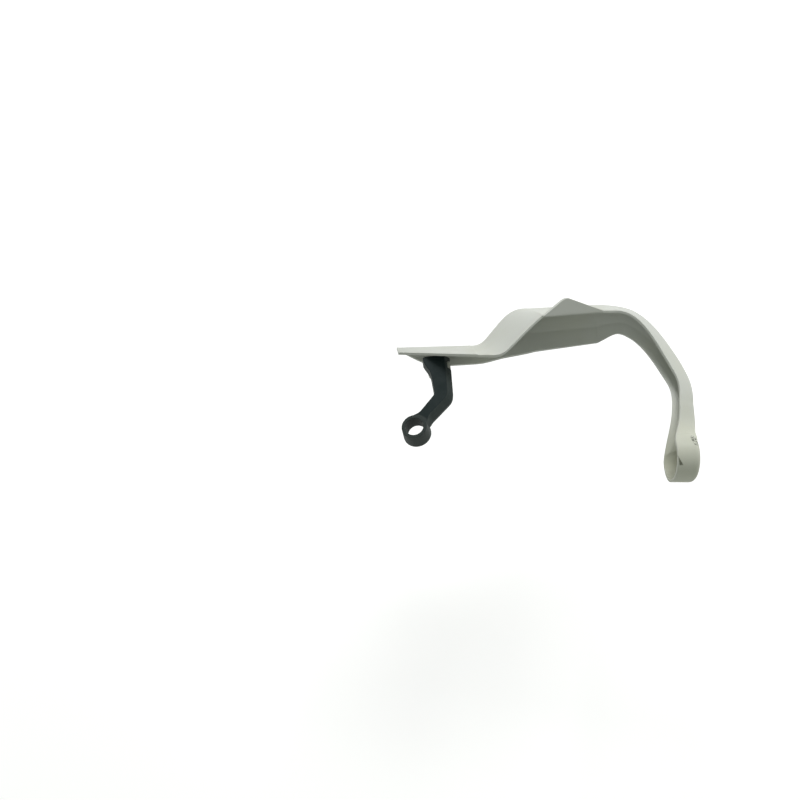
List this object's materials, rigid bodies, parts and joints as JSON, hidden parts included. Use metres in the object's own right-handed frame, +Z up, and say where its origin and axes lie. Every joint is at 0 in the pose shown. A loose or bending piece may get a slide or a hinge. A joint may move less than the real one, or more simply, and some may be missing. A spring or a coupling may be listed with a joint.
{
  "type": "motorcycle hand guard",
  "caption": "Folded plastic hand guard that sweeps from a pointed tip round a strap to a bar-end cup, with a cast bracket arm and eye for its inner end.",
  "frame": {"origin": "on the bar's axis where the end face of the handlebar seats in the cup", "axes": "+X outboard across the motorcycle along the guard's length, +Y forward, +Z up"},
  "size_m": [0.2937, 0.2161, 0.0937],
  "materials": {
    "guard_plastic": "pale grey moulded plastic with a fine grain, scuffed at the bar end",
    "black_casting": "black powder-coated casting, satin",
    "plated_steel": "zinc-plated steel",
    "spring_steel": "bright spring steel sheet"
  },
  "bodies": {
    "root": {"guard_shell": "guard_plastic", "bracket": "black_casting", "bracket_screw": "plated_steel", "clip_nut": "spring_steel"}
  },
  "joints": []
}
